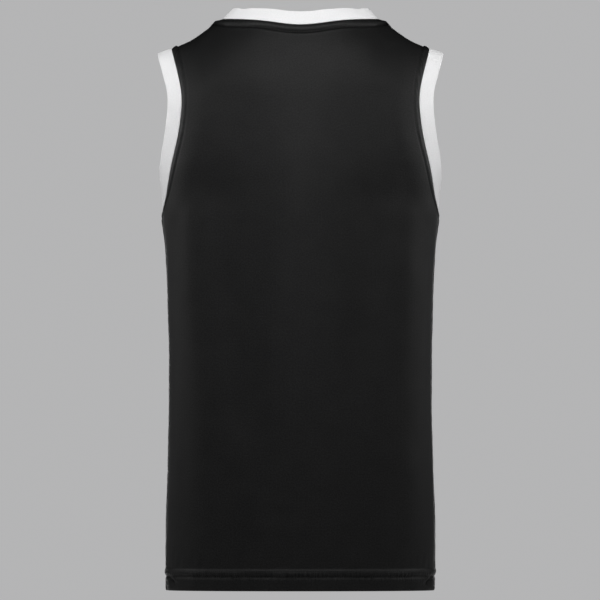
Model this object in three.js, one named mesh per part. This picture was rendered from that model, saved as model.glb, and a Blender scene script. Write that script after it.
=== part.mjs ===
// A sleeveless basketball jersey, filled out as it hangs on a wearer's shoulders, with no wearer in it.
// Millimetres. +Z is up, the front faces -Y and the back faces +Y. The origin is the middle of the line
// between the two high shoulder points, where the neck seam crosses the shoulder seams.
// A front and a back panel meet at the side seams and the shoulder seams, in the plane Y = 0. A folded
// band is sewn round the neck and round each armhole. Each piece is a thin closed wall.
import * as THREE from "three";

// Driving dimensions
const BODY_LENGTH = 760; // high shoulder point to hem
const NECK_HALF_WIDTH = 103; // centre line to the neck seam on the shoulder
const BACK_NECK_DROP = 7.8; // high shoulder point down to the back neck seam
const BACK_NECK_SPREAD = 47; // how far from the centre the back neck seam dips
const FRONT_NECK_DROP = 96; // high shoulder point down to the front neck seam
const FRONT_NECK_ROUNDNESS = 2.4; // power of the front neckline's curve
const UNDERARM_DROP = 254.5; // high shoulder point down to the underarm seam
const HALF_GIRTH = 254; // centre line to side seam round the chest, used to place the folds
const BAND_WIDTH = 20; // folded band, from its seam to its free edge
const BAND_THICKNESS = 2.2; // two layers of the band's cloth
const BAND_STEP = 0.2; // how far the band stands above the panel's outer face
const BAND_CROWN = 0.2; // how much the band's two faces swell between its seam and its fold
const CLOTH_THICKNESS = 1.6;
const HEM_DEPTH = 19.5; // turned-up hem, from its edge to its stitching
const HEM_THICKNESS = 2.6; // the turned-up cloth makes a second layer
const HEM_PUFF = 0.5; // how far the hem stands out below its stitching, and is drawn in along it
const HEM_STEP = 2; // height over which the cloth is drawn in at the stitching
const SEAM_GAP = 0.3; // between pieces that are sewn together

// How many cells each panel has
const NECK_CELLS = 9; // from the centre line to the neck seam's end
const SHOULDER_CELLS = 7; // from there to the armhole
const TORSO_ROWS = 13; // from the hem's stitching to the underarm
const YOKE_ROWS = 14; // from the underarm to the top

// The outer form, as level sections. Squareness 2 is an ellipse, and more is boxier.
const SECTIONS = [
  { z: -760, halfWidth: 178.5, backDepth: 130, frontDepth: 132, squareness: 2.4 },
  { z: -690, halfWidth: 179, backDepth: 129, frontDepth: 134, squareness: 2.4 },
  { z: -600, halfWidth: 176.6, backDepth: 127.5, frontDepth: 137, squareness: 2.4 },
  { z: -480, halfWidth: 174.4, backDepth: 126.5, frontDepth: 140, squareness: 2.4 },
  { z: -350, halfWidth: 177, backDepth: 127.5, frontDepth: 140, squareness: 2.39 },
  { z: -262, halfWidth: 182.5, backDepth: 129, frontDepth: 137, squareness: 2.3 },
  { z: -236, halfWidth: 184.8, backDepth: 129, frontDepth: 135, squareness: 2.22 },
  { z: -188, halfWidth: 196.5, backDepth: 127, frontDepth: 129, squareness: 2.07 },
  { z: -135, halfWidth: 201.5, backDepth: 121.5, frontDepth: 119.5, squareness: 2 },
  { z: -95, halfWidth: 203, backDepth: 115.5, frontDepth: 111, squareness: 2 },
  { z: -41, halfWidth: 218.5, backDepth: 105.5, frontDepth: 99.5, squareness: 2 },
  { z: 20, halfWidth: 235, backDepth: 98, frontDepth: 90, squareness: 2 },
];

// The ridge where front and back meet over the shoulder, from the centre line out. Inside the neck it
// is only the level that the panels lean towards.
const RIDGE = [
  { x: 0, z: 36, roundOver: 140 },
  { x: 30, z: 33, roundOver: 137 },
  { x: 60, z: 24, roundOver: 122 },
  { x: 90, z: 8, roundOver: 100 },
  { x: 103, z: 0, roundOver: 94 },
  { x: 116, z: -7.6, roundOver: 92 },
  { x: 130, z: -17.6, roundOver: 92 },
  { x: 144, z: -27.2, roundOver: 92 },
  { x: 158, z: -34, roundOver: 92 },
  { x: 172, z: -39.7, roundOver: 92 },
  { x: 200, z: -50, roundOver: 92 },
];

// How deep each armhole is cut into its panel, as a share of the section's depth, and how high above the
// underarm that depth is reached. The front is scooped deeper, and both are alike at the shoulder.
const ARMHOLE = {
  back: { share: 0.62, scoop: 0 },
  front: { share: 0.62, scoop: 0.085 },
  roundHeight: 150,
};

// Soft troughs pressed into each panel, from one point to another. Girth runs from the centre line
// towards the left side seam (+X), and depth is below the smooth form; a negative depth is a ridge.
const FOLDS = {
  back: [
    { fromGirth: 96, fromZ: -196, toGirth: 84, toZ: -262, halfWidth: 40, depth: 4.6 },
    { fromGirth: -99, fromZ: -200, toGirth: -82, toZ: -268, halfWidth: 40, depth: 4.2 },
    { fromGirth: 82, fromZ: -262, toGirth: 66, toZ: -540, halfWidth: 27, depth: 4.0 },
    { fromGirth: -80, fromZ: -268, toGirth: -62, toZ: -500, halfWidth: 26, depth: 3.6 },
    { fromGirth: 152, fromZ: -285, toGirth: 140, toZ: -600, halfWidth: 34, depth: -2.2 },
    { fromGirth: -150, fromZ: -300, toGirth: -143, toZ: -640, halfWidth: 33, depth: -2.0 },
    { fromGirth: 0, fromZ: -150, toGirth: 4, toZ: -560, halfWidth: 30, depth: -2.0 },
  ],
  front: [
    { fromGirth: 92, fromZ: -214, toGirth: 70, toZ: -300, halfWidth: 38, depth: 4.8 },
    { fromGirth: -95, fromZ: -220, toGirth: -74, toZ: -292, halfWidth: 38, depth: 4.4 },
    { fromGirth: 70, fromZ: -300, toGirth: 84, toZ: -590, halfWidth: 28, depth: 4.2 },
    { fromGirth: -76, fromZ: -292, toGirth: -66, toZ: -560, halfWidth: 27, depth: 3.8 },
    { fromGirth: 0, fromZ: -175, toGirth: -6, toZ: -420, halfWidth: 26, depth: 3.0 },
    { fromGirth: 150, fromZ: -330, toGirth: 146, toZ: -650, halfWidth: 34, depth: -2.2 },
    { fromGirth: -148, fromZ: -310, toGirth: -150, toZ: -620, halfWidth: 34, depth: -2.4 },
  ],
};
const FOLD_END = 90; // length over which a fold fades in and out

// How much the neck band stands up from the panels' slope, from the front to the back
const NECK_LIFT = [
  { y: -110, lift: 0.04 },
  { y: -50, lift: 0.12 },
  { y: 0, lift: 0.36 },
  { y: 25, lift: 0.25 },
  { y: 45, lift: 0.09 },
  { y: 75, lift: 0.27 },
];

// How much the armhole bands flare out sideways, from the underarm up
const ARMHOLE_FLARE = [
  { z: -255, flare: 0.02 },
  { z: -190, flare: 0.25 },
  { z: -120, flare: 0.7 },
  { z: -70, flare: 0.5 },
  { z: -40, flare: 0.06 },
];

const QUARTER_TURN = Math.PI / 2;
const SLOPE_STEP = 0.05; // distance over which the form's slope is measured
const TOP_STEPS = 60; // steps, each half of what is left, to where a column meets the top edge

const SIDE = { back: 1, front: -1 };
const CLOTH = { color: 0x1b1c1d, roughness: 0.62, metalness: 0 };
const BAND_CLOTH = { color: 0xeeeeee, roughness: 0.7, metalness: 0 };

// A smooth curve through one column of a table, with rows in order of the key column. It starts level.
function readTable(table, key, column, at) {
  const last = table.length - 1;
  if (at <= table[0][key]) return table[0][column];
  if (at >= table[last][key]) return table[last][column];
  let i = 0;
  while (table[i + 1][key] < at) i += 1;
  const slope = (a, b) => (table[b][column] - table[a][column]) / (table[b][key] - table[a][key]);
  const tangent = (k) => (k === 0 ? 0 : slope(k - 1, Math.min(k + 1, last)));
  const span = table[i + 1][key] - table[i][key];
  const u = (at - table[i][key]) / span;
  return (
    table[i][column] * (2 * u ** 3 - 3 * u ** 2 + 1) +
    tangent(i) * span * (u ** 3 - 2 * u ** 2 + u) +
    table[i + 1][column] * (3 * u ** 2 - 2 * u ** 3) +
    tangent(i + 1) * span * (u ** 3 - u ** 2)
  );
}

const sectionAt = (column, z) => readTable(SECTIONS, "z", column, z);
const ridgeHeight = (x) => readTable(RIDGE, "x", "z", Math.abs(x));

// The square of the share of its full depth that the form has left as it rounds over to the ridge.
function roundingSquared(x, z) {
  const q = (ridgeHeight(x) - z) / readTable(RIDGE, "x", "roundOver", Math.abs(x));
  return q >= 1 ? 1 : q * (2 - q);
}

// A point of the smooth form. Angle runs from 0 at the side seam to a quarter turn at the centre line.
function formPoint(panel, angle, z, hand) {
  const power = 2 / sectionAt("squareness", z);
  const x = hand * sectionAt("halfWidth", z) * Math.cos(angle) ** power;
  const depth = sectionAt(panel + "Depth", z) * Math.sin(angle) ** power;
  const rounding = Math.sqrt(Math.max(roundingSquared(x, z), 0));
  return new THREE.Vector3(x, SIDE[panel] * depth * rounding, z);
}

// The form's outward normal, from a function that is zero on it.
function formNormal(panel, point) {
  const outside = (x, y, z) => {
    const n = sectionAt("squareness", z);
    const rounding = roundingSquared(x, z);
    const signed = Math.sign(rounding) * Math.abs(rounding) ** (n / 2);
    const across = (Math.abs(x) / sectionAt("halfWidth", z)) ** n;
    return (Math.abs(y) / sectionAt(panel + "Depth", z)) ** n - signed * (1 - across);
  };
  const { x, y, z } = point;
  const normal = new THREE.Vector3(
    outside(x + SLOPE_STEP, y, z) - outside(x - SLOPE_STEP, y, z),
    outside(x, y + SLOPE_STEP, z) - outside(x, y - SLOPE_STEP, z),
    outside(x, y, z + SLOPE_STEP) - outside(x, y, z - SLOPE_STEP),
  );
  return normal.normalize();
}

const smooth = (u) => {
  const v = Math.min(Math.max(u, 0), 1);
  return v * v * (3 - 2 * v);
};

// How far a panel's cloth stands out from the smooth form, in folds.
function foldHeight(panel, girth, z) {
  let height = 0;
  for (const fold of FOLDS[panel]) {
    const along = (fold.fromZ - z) / (fold.fromZ - fold.toZ);
    const centre = fold.fromGirth + (fold.toGirth - fold.fromGirth) * Math.min(Math.max(along, 0), 1);
    const across = (girth - centre) / fold.halfWidth;
    const fadeIn = smooth((fold.fromZ - z) / FOLD_END + 0.5);
    const fadeOut = smooth((z - fold.toZ) / FOLD_END + 0.5);
    height -= fold.depth * fadeIn * fadeOut * Math.exp(-across * across);
  }
  return height;
}

// The angle at which a panel ends at its armhole, at a height above the underarm.
function armholeAngle(panel, rise, fullRise) {
  const { share, scoop } = ARMHOLE[panel];
  const round = Math.min(rise / ARMHOLE.roundHeight, 1);
  const scooped = share + scoop * Math.sin((Math.PI * rise) / fullRise) ** 2;
  const depth = scooped * Math.sqrt(round * (2 - round));
  return Math.asin(depth ** (sectionAt("squareness", rise - UNDERARM_DROP) / 2));
}

// The height of a panel's top edge: the neck seam, and then the shoulder seam.
function topHeight(panel, x) {
  if (x >= NECK_HALF_WIDTH) return ridgeHeight(x);
  if (panel === "back") return -BACK_NECK_DROP * Math.exp(-((x / BACK_NECK_SPREAD) ** 2));
  return -FRONT_NECK_DROP * (1 - (x / NECK_HALF_WIDTH) ** FRONT_NECK_ROUNDNESS);
}

// Finds where the column that ends at an angle meets the panel's top edge.
function topOfColumn(panel, angle) {
  let z = topHeight(panel, NECK_HALF_WIDTH);
  for (let i = 0; i < TOP_STEPS; i += 1) {
    const x = sectionAt("halfWidth", z) * Math.cos(angle) ** (2 / sectionAt("squareness", z));
    z += (topHeight(panel, x) - z) / 2;
  }
  return z;
}

// The shoulder seam's outer end: its height above the underarm, and the angle there.
function shoulderEnd(panel) {
  const angle = Math.asin(ARMHOLE[panel].share);
  return { angle, rise: topOfColumn(panel, angle) + UNDERARM_DROP };
}

// The columns of one half of a panel, as shares of the way from the centre line to its edge. One of
// them meets the high shoulder point.
function columnShares(panel) {
  const neckAngle = Math.acos(NECK_HALF_WIDTH / sectionAt("halfWidth", 0));
  const neckShare = (QUARTER_TURN - neckAngle) / (QUARTER_TURN - shoulderEnd(panel).angle);
  const shares = [];
  for (let i = 0; i <= NECK_CELLS; i += 1) {
    shares.push(neckShare * Math.sin((QUARTER_TURN * i) / NECK_CELLS));
  }
  for (let i = 1; i <= SHOULDER_CELLS; i += 1) {
    shares.push(neckShare + ((1 - neckShare) * i) / SHOULDER_CELLS);
  }
  return shares;
}

// The rows of a panel, from the hem up: a height in the torso, or a share of the way up the yoke, with
// how far the outer face stands out and how thick the cloth is.
function panelRows() {
  const rows = [
    { z: -BODY_LENGTH, lift: HEM_PUFF, thickness: HEM_THICKNESS },
    { z: HEM_DEPTH - HEM_STEP - BODY_LENGTH, lift: HEM_PUFF, thickness: HEM_THICKNESS },
    { z: HEM_DEPTH - BODY_LENGTH, lift: -HEM_PUFF, thickness: CLOTH_THICKNESS },
  ];
  const start = HEM_DEPTH + 2 * HEM_STEP - BODY_LENGTH;
  for (let i = 0; i < TORSO_ROWS; i += 1) {
    const z = start + (-UNDERARM_DROP - start) * Math.sin((QUARTER_TURN * i) / TORSO_ROWS);
    rows.push({ z, lift: 0, thickness: CLOTH_THICKNESS });
  }
  for (let i = 0; i <= YOKE_ROWS; i += 1) {
    const share = (1 - Math.cos((Math.PI * i) / YOKE_ROWS)) / 2;
    rows.push({ share, lift: 0, thickness: CLOTH_THICKNESS });
  }
  return rows;
}

// A panel's outer and inner points in rows, and the frame of its edges for the bands.
function panelGrid(panel) {
  const { rise } = shoulderEnd(panel);
  const shares = columnShares(panel);
  const columns = [
    ...shares.slice(1).reverse().map((share) => ({ share, hand: -1 })),
    ...shares.map((share) => ({ share, hand: 1 })),
  ];
  const angleAt = (share, edgeAngle) => QUARTER_TURN - share * (QUARTER_TURN - edgeAngle);
  const tops = columns.map(({ share }) => topOfColumn(panel, angleAt(share, shoulderEnd(panel).angle)));
  return panelRows().map((row) => {
    const inYoke = row.share !== undefined;
    const edgeAngle = inYoke ? armholeAngle(panel, rise * row.share, rise) : 0;
    return columns.map((column, i) => {
      const z = inYoke ? row.share * (tops[i] + UNDERARM_DROP) - UNDERARM_DROP : row.z;
      const angle = angleAt(column.share, edgeAngle);
      const smoothPoint = formPoint(panel, angle, z, column.hand);
      const normal = formNormal(panel, smoothPoint);
      const girth = column.hand * HALF_GIRTH * (1 - angle / QUARTER_TURN);
      const outer = smoothPoint.clone().addScaledVector(normal, row.lift + foldHeight(panel, girth, z));
      outer.y += (SIDE[panel] * SEAM_GAP) / 2;
      const inner = outer.clone().addScaledVector(normal, -row.thickness);
      return { outer, inner, normal };
    });
  });
}

// A closed mesh from quads of point numbers, with its faces pointing out.
function solidMesh(name, points, quads, finish) {
  const index = quads.flatMap(([a, b, c, d]) => [a, b, c, a, c, d]);
  let volume = 0;
  for (let i = 0; i < index.length; i += 3) {
    const [a, b, c] = index.slice(i, i + 3).map((k) => points[k]);
    volume += a.dot(new THREE.Vector3().crossVectors(b, c)) / 6;
  }
  if (volume < 0) index.reverse();
  const geometry = new THREE.BufferGeometry().setFromPoints(points);
  geometry.setIndex(index);
  geometry.computeVertexNormals();
  const mesh = new THREE.Mesh(geometry, new THREE.MeshStandardMaterial(finish));
  mesh.name = name;
  return mesh;
}

// A panel's wall: its outer and inner faces, joined round the edge.
function panelMesh(name, grid) {
  const rows = grid.length;
  const columns = grid[0].length;
  const points = [...grid.flat().map((p) => p.outer), ...grid.flat().map((p) => p.inner)];
  const outerAt = (row, column) => row * columns + column;
  const innerAt = (row, column) => rows * columns + row * columns + column;
  const quads = [];
  for (let r = 0; r < rows - 1; r += 1) {
    for (let c = 0; c < columns - 1; c += 1) {
      quads.push([outerAt(r, c), outerAt(r, c + 1), outerAt(r + 1, c + 1), outerAt(r + 1, c)]);
      quads.push([innerAt(r, c), innerAt(r + 1, c), innerAt(r + 1, c + 1), innerAt(r, c + 1)]);
    }
  }
  const rim = [];
  for (let c = 0; c < columns - 1; c += 1) rim.push([0, c]);
  for (let r = 0; r < rows - 1; r += 1) rim.push([r, columns - 1]);
  for (let c = columns - 1; c > 0; c -= 1) rim.push([rows - 1, c]);
  for (let r = rows - 1; r > 0; r -= 1) rim.push([r, 0]);
  rim.forEach(([r, c], i) => {
    const [nextR, nextC] = rim[(i + 1) % rim.length];
    quads.push([outerAt(r, c), innerAt(r, c), innerAt(nextR, nextC), outerAt(nextR, nextC)]);
  });
  return solidMesh(name, points, quads, CLOTH);
}

// A folded band's section: distance from its seam, and height above the outer face of the panel.
function bandSection() {
  const half = BAND_THICKNESS / 2;
  const top = BAND_STEP;
  const bottom = BAND_STEP - BAND_THICKNESS;
  return [
    { out: 0, height: top },
    { out: BAND_WIDTH / 2, height: top + BAND_CROWN },
    { out: BAND_WIDTH - half, height: top },
    { out: BAND_WIDTH, height: top - half },
    { out: BAND_WIDTH - half, height: bottom },
    { out: BAND_WIDTH / 2, height: bottom - BAND_CROWN },
    { out: 0, height: bottom },
  ];
}

// A band along a loop of panel edge points. At each point, lean turns the band from the panel's own
// slope towards a direction of its own.
function bandMesh(name, loop, lean) {
  const section = bandSection();
  const count = loop.length;
  const middle = new THREE.Vector3();
  loop.forEach((p) => middle.addScaledVector(p.outer, 1 / count));
  const points = [];
  loop.forEach((p, i) => {
    const along = loop[(i + 1) % count].outer.clone().sub(loop[(i + count - 1) % count].outer).normalize();
    const reach = new THREE.Vector3().crossVectors(along, p.normal).normalize();
    if (reach.dot(middle.clone().sub(p.outer)) < 0) reach.negate();
    reach.addScaledVector(lean.towards, lean.amount(p.outer));
    reach.addScaledVector(along, -reach.dot(along)).normalize();
    const face = new THREE.Vector3().crossVectors(along, reach).normalize();
    if (face.dot(p.normal) < 0) face.negate();
    section.forEach(({ out, height }) => {
      const raise = out === 0 ? p.normal : face;
      points.push(p.outer.clone().addScaledVector(reach, SEAM_GAP + out).addScaledVector(raise, height));
    });
  });
  const quads = [];
  for (let i = 0; i < count; i += 1) {
    for (let j = 0; j < section.length; j += 1) {
      const next = (j + 1) % section.length;
      const nextRing = ((i + 1) % count) * section.length;
      quads.push([i * section.length + j, i * section.length + next, nextRing + next, nextRing + j]);
    }
  }
  return solidMesh(name, points, quads, BAND_CLOTH);
}

// The edge points of both panels round an armhole, from the underarm up the back and down the front.
function armholeLoop(grids, hand) {
  const firstRow = grids.back.length - 1 - YOKE_ROWS;
  const column = hand > 0 ? grids.back[0].length - 1 : 0;
  const edge = (grid) => grid.slice(firstRow).map((row) => row[column]);
  return joinLoop(edge(grids.back), edge(grids.front).reverse());
}

// The edge points of both panels round the neck, along the back and back along the front.
function neckLoop(grids) {
  const top = (grid) => {
    const centre = (grid[0].length - 1) / 2;
    return grid[grid.length - 1].slice(centre - NECK_CELLS, centre + NECK_CELLS + 1);
  };
  return joinLoop(top(grids.back), top(grids.front).reverse());
}

// Two edges that meet at both ends, as one loop with one point at each meeting.
function joinLoop(first, second) {
  const meet = (a, b) => ({
    outer: a.outer.clone().add(b.outer).multiplyScalar(0.5),
    normal: a.normal.clone().add(b.normal).normalize(),
  });
  const last = first.length - 1;
  return [
    meet(first[0], second[last]),
    ...first.slice(1, last),
    meet(first[last], second[0]),
    ...second.slice(1, last),
  ];
}

const grids = { back: panelGrid("back"), front: panelGrid("front") };
const jersey = new THREE.Group();
jersey.add(panelMesh("back_panel", grids.back));
jersey.add(panelMesh("front_panel", grids.front));
jersey.add(
  bandMesh("neck_band", neckLoop(grids), {
    towards: new THREE.Vector3(0, 0, 1),
    amount: (point) => readTable(NECK_LIFT, "y", "lift", point.y),
  }),
);
for (const [name, hand] of [["armhole_band_left", 1], ["armhole_band_right", -1]]) {
  jersey.add(
    bandMesh(name, armholeLoop(grids, hand), {
      towards: new THREE.Vector3(hand, 0, 0),
      amount: (point) => readTable(ARMHOLE_FLARE, "z", "flare", point.z),
    }),
  );
}

export default jersey;
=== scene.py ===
# The looks of a filled-out basketball jersey: two knit panels, a folded band round the neck and round
# each armhole, a turned-up hem, and the sewing that holds them together.
import math

import bpy
import numpy as np
from mathutils import Matrix, Vector


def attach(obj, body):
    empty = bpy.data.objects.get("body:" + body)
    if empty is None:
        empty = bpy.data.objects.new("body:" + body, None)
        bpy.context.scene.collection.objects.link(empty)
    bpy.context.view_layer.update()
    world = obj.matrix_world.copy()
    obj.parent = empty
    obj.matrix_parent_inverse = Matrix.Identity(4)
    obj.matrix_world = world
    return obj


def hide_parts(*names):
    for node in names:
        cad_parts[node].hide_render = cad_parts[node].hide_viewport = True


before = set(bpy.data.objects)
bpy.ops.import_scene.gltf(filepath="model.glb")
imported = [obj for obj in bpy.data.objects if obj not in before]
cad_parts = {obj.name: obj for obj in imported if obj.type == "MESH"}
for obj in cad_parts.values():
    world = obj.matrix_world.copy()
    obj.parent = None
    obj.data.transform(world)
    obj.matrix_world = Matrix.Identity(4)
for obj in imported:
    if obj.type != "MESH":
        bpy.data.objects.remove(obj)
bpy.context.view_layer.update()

# Sizes are in millimetres here and become metres where a mesh is made.
MM = 0.001

# The cut
BODY_LENGTH = 760.0  # high shoulder point to hem
NECK_HALF_WIDTH = 103.0
BACK_NECK_DROP = 7.8
BACK_NECK_SPREAD = 47.0
FRONT_NECK_DROP = 96.0
FRONT_NECK_ROUNDNESS = 2.4
UNDERARM_DROP = 254.5
HALF_GIRTH = 254.0
BAND_WIDTH = 20.0
SEAM_LAP = 0.02  # how far pieces reach into each other at a seam, so that no light comes through

# The outer form, as level sections
SECTIONS = [
    {"z": -760, "half_width": 178.5, "back": 130.0, "front": 132.0, "squareness": 2.4},
    {"z": -690, "half_width": 179.0, "back": 129.0, "front": 134.0, "squareness": 2.4},
    {"z": -600, "half_width": 176.6, "back": 127.5, "front": 137.0, "squareness": 2.4},
    {"z": -480, "half_width": 174.4, "back": 126.5, "front": 140.0, "squareness": 2.4},
    {"z": -350, "half_width": 177.0, "back": 127.5, "front": 140.0, "squareness": 2.39},
    {"z": -262, "half_width": 182.5, "back": 129.0, "front": 137.0, "squareness": 2.3},
    {"z": -236, "half_width": 184.8, "back": 129.0, "front": 135.0, "squareness": 2.22},
    {"z": -188, "half_width": 196.5, "back": 127.0, "front": 129.0, "squareness": 2.07},
    {"z": -135, "half_width": 201.5, "back": 121.5, "front": 119.5, "squareness": 2.0},
    {"z": -95, "half_width": 203.0, "back": 115.5, "front": 111.0, "squareness": 2.0},
    {"z": -41, "half_width": 218.5, "back": 105.5, "front": 99.5, "squareness": 2.0},
    {"z": 20, "half_width": 235.0, "back": 98.0, "front": 90.0, "squareness": 2.0},
]

# The ridge over the shoulder, from the centre line out
RIDGE = [
    {"x": 0, "z": 36.0, "round_over": 140.0},
    {"x": 30, "z": 33.0, "round_over": 137.0},
    {"x": 60, "z": 24.0, "round_over": 122.0},
    {"x": 90, "z": 8.0, "round_over": 100.0},
    {"x": 103, "z": 0.0, "round_over": 94.0},
    {"x": 116, "z": -7.6, "round_over": 92.0},
    {"x": 130, "z": -17.6, "round_over": 92.0},
    {"x": 144, "z": -27.2, "round_over": 92.0},
    {"x": 158, "z": -34.0, "round_over": 92.0},
    {"x": 172, "z": -39.7, "round_over": 92.0},
    {"x": 200, "z": -50.0, "round_over": 92.0},
]

# How deep each armhole is cut, as a share of the section's depth
ARMHOLE_SHARE = 0.62
ARMHOLE_SCOOP = {"back": 0.0, "front": 0.085}  # deeper halfway up
ARMHOLE_ROUND = 150.0  # how far up the armhole's bottom is round

# How much the neck band stands up, from the front to the back, and the armhole bands flare, from the
# underarm up
NECK_LIFT = [
    {"y": -110, "lift": 0.04},
    {"y": -50, "lift": 0.12},
    {"y": 0, "lift": 0.35},
    {"y": 25, "lift": 0.25},
    {"y": 45, "lift": 0.13},
    {"y": 75, "lift": 0.27},
]
ARMHOLE_FLARE = [
    {"z": -255, "flare": 0.02},
    {"z": -190, "flare": 0.25},
    {"z": -120, "flare": 0.7},
    {"z": -70, "flare": 0.5},
    {"z": -40, "flare": 0.06},
]

# Soft troughs, and ridges where the depth is negative: girth from the centre line towards +X, height,
# half width and depth
FOLD_COLUMNS = ("from_girth", "from_z", "to_girth", "to_z", "half_width", "depth")
FOLDS = {
    "back": [
        (96, -196, 84, -262, 40, 4.6),
        (-99, -200, -82, -268, 40, 4.2),
        (82, -262, 66, -540, 27, 4.0),
        (-80, -268, -62, -500, 26, 3.6),
        (152, -285, 140, -600, 34, -2.2),
        (-150, -300, -143, -640, 33, -2.0),
        (0, -150, 4, -560, 30, -2.0),
    ],
    "front": [
        (92, -214, 70, -300, 38, 4.8),
        (-95, -220, -74, -292, 38, 4.4),
        (70, -300, 84, -590, 28, 4.2),
        (-76, -292, -66, -560, 27, 3.8),
        (0, -175, -6, -420, 26, 3.0),
        (150, -330, 146, -650, 34, -2.2),
        (-148, -310, -150, -620, 34, -2.4),
    ],
}
FOLD_END = 90.0  # the length over which a fold fades in or out

SIDE = {"back": 1.0, "front": -1.0}  # the way along Y that each panel faces
QUARTER = math.pi / 2


def smooth(u):
    """A step from 0 to 1 that eases in and out."""
    v = np.clip(u, 0.0, 1.0)
    return v * v * (3 - 2 * v)


def bump(distance, centre, width):
    """A soft rise of height 1, at a distance from a seam."""
    return np.exp(-(((distance - centre) / width) ** 2))


def curve(rows, key, column):
    """A smooth curve through one column of a table. It starts level."""
    at = np.array([row[key] for row in rows], float)
    value = np.array([row[column] for row in rows], float)
    slope = np.zeros_like(value)
    slope[1:-1] = (value[2:] - value[:-2]) / (at[2:] - at[:-2])
    slope[-1] = (value[-1] - value[-2]) / (at[-1] - at[-2])

    def read(x):
        x = np.clip(x, at[0], at[-1])
        i = np.clip(np.searchsorted(at, x, side="right") - 1, 0, len(at) - 2)
        span = at[i + 1] - at[i]
        u = (x - at[i]) / span
        return (
            value[i] * (2 * u**3 - 3 * u**2 + 1)
            + slope[i] * span * (u**3 - 2 * u**2 + u)
            + value[i + 1] * (3 * u**2 - 2 * u**3)
            + slope[i + 1] * span * (u**3 - u**2)
        )

    return read


half_width_at = curve(SECTIONS, "z", "half_width")
squareness_at = curve(SECTIONS, "z", "squareness")
depth_at = {panel: curve(SECTIONS, "z", panel) for panel in SIDE}
ridge_curve = curve(RIDGE, "x", "z")
round_over_curve = curve(RIDGE, "x", "round_over")
neck_lift_at = curve(NECK_LIFT, "y", "lift")
armhole_flare_at = curve(ARMHOLE_FLARE, "z", "flare")


def rounding_squared(x, z):
    """The square of the share of its depth that the form has left as it rounds over to the ridge."""
    q = (ridge_curve(np.abs(x)) - z) / round_over_curve(np.abs(x))
    return np.where(q >= 1, 1.0, q * (2 - q))


def form_point(panel, angle, z, hand):
    """A point of the form, from its height and its angle from the side to the centre line."""
    power = 2 / squareness_at(z)
    x = hand * half_width_at(z) * np.cos(angle) ** power
    depth = depth_at[panel](z) * np.sin(angle) ** power
    y = SIDE[panel] * depth * np.sqrt(np.maximum(rounding_squared(x, z), 0))
    return np.stack([x, y, z], axis=-1)


def form_normal(panel, points):
    """The form's outward normal, from a function that is zero on it."""

    def outside(x, y, z):
        n = squareness_at(z)
        rounding = rounding_squared(x, z)
        signed = np.sign(rounding) * np.abs(rounding) ** (n / 2)
        across = (np.abs(x) / half_width_at(z)) ** n
        return (np.abs(y) / depth_at[panel](z)) ** n - signed * (1 - across)

    x, y, z = points[..., 0], points[..., 1], points[..., 2]
    step = 0.05
    normal = np.stack(
        [
            outside(x + step, y, z) - outside(x - step, y, z),
            outside(x, y + step, z) - outside(x, y - step, z),
            outside(x, y, z + step) - outside(x, y, z - step),
        ],
        axis=-1,
    )
    return unit(normal)


def unit(vectors):
    return vectors / np.maximum(np.linalg.norm(vectors, axis=-1, keepdims=True), 1e-12)


def armhole_angle(panel, rise, full_rise):
    """The angle at which a panel ends beside its armhole, at a rise above the underarm."""
    around = np.minimum(rise / ARMHOLE_ROUND, 1)
    scooped = ARMHOLE_SHARE + ARMHOLE_SCOOP[panel] * np.sin(math.pi * rise / full_rise) ** 2
    depth = scooped * np.sqrt(around * (2 - around))
    return np.arcsin(depth ** (squareness_at(rise - UNDERARM_DROP) / 2))


def top_height(panel, x):
    """The height of a panel's top edge: the neck seam, and then the shoulder seam."""
    if panel == "back":
        neck = -BACK_NECK_DROP * np.exp(-((x / BACK_NECK_SPREAD) ** 2))
    else:
        inside = np.minimum(x / NECK_HALF_WIDTH, 1)
        neck = -FRONT_NECK_DROP * (1 - inside**FRONT_NECK_ROUNDNESS)
    return np.where(x >= NECK_HALF_WIDTH, ridge_curve(x), neck)


def top_of_column(panel, angle):
    """The height at which each column of a panel reaches its top edge."""
    z = np.zeros_like(angle)
    for _ in range(60):
        x = half_width_at(z) * np.cos(angle) ** (2 / squareness_at(z))
        z = z + (top_height(panel, x) - z) / 2
    return z


def fold_height(panel, girth, z):
    """How far the folds move the cloth outwards, which is less than nothing in a trough."""
    height = np.zeros_like(z)
    for row in FOLDS[panel]:
        fold = dict(zip(FOLD_COLUMNS, row))
        along = np.clip((fold["from_z"] - z) / (fold["from_z"] - fold["to_z"]), 0, 1)
        centre = fold["from_girth"] + (fold["to_girth"] - fold["from_girth"]) * along
        fade_in = smooth((fold["from_z"] - z) / FOLD_END + 0.5)
        fade_out = smooth((z - fold["to_z"]) / FOLD_END + 0.5)
        height -= fold["depth"] * fade_in * fade_out * bump(girth, centre, fold["half_width"])
    return height


# How finely each panel is divided
NECK_CELLS = 38
SHOULDER_CELLS = 31
EDGE_CELLS = 13  # beside the armhole and the side seam
EDGE_SHARE = 0.062  # of the way from the centre line to the edge
TORSO_STEP = 3.2
YOKE_STEP = 0.015  # of the way from the underarm to the top
TOP_SHARE = 0.082  # the part of the yoke that has the neck's stitching
TOP_CELLS = 23


def column_shares():
    """The columns of one half of a panel, as shares of the way from the centre line to its edge."""
    neck_angle = math.acos(NECK_HALF_WIDTH / half_width_at(0.0))
    neck_share = (QUARTER - neck_angle) / (QUARTER - math.asin(ARMHOLE_SHARE))
    even = np.linspace(0, 1, NECK_CELLS + 1)
    neck = neck_share * (even + np.sin(QUARTER * even)) / 2
    shoulder = np.linspace(neck_share, 1 - EDGE_SHARE, SHOULDER_CELLS + 1)[1:]
    edge = np.linspace(1 - EDGE_SHARE, 1, EDGE_CELLS + 1)[1:]
    return np.concatenate([neck, shoulder, edge])


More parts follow.
